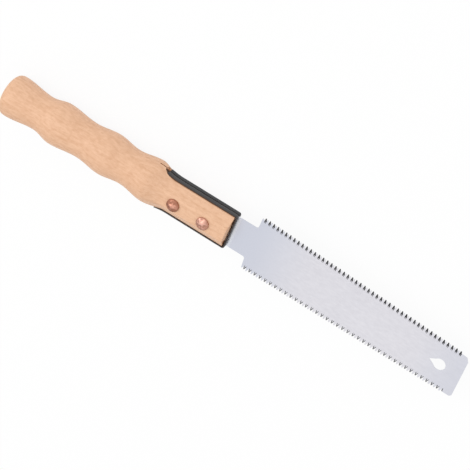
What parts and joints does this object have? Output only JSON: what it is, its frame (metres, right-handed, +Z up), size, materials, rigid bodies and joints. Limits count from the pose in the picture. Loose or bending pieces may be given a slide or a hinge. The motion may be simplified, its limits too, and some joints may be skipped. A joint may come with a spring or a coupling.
{
  "type": "flush cut saw",
  "caption": "Hand saw for flush cuts: turned wooden grip, thin blade toothed along both edges with a drop-shaped hang hole, black bands round the tongue and copper rivets.",
  "frame": {"origin": "middle of the saw's footprint, on the floor it lies on", "axes": "+X from the butt of the grip to the tip of the blade, +Y across the blade towards the finer teeth, +Z up"},
  "size_m": [0.3316, 0.0408, 0.0288],
  "materials": {
    "wood": "fine sanded, thin clear coat",
    "steel": "satin",
    "black_band": "satin black",
    "copper": "hammered copper"
  },
  "bodies": {
    "root": {"handle": "wood", "blade": "steel", "band_near": "black_band", "band_far": "black_band", "front_post": "copper", "front_socket": "copper", "rear_post": "copper", "rear_socket": "copper"}
  },
  "joints": []
}
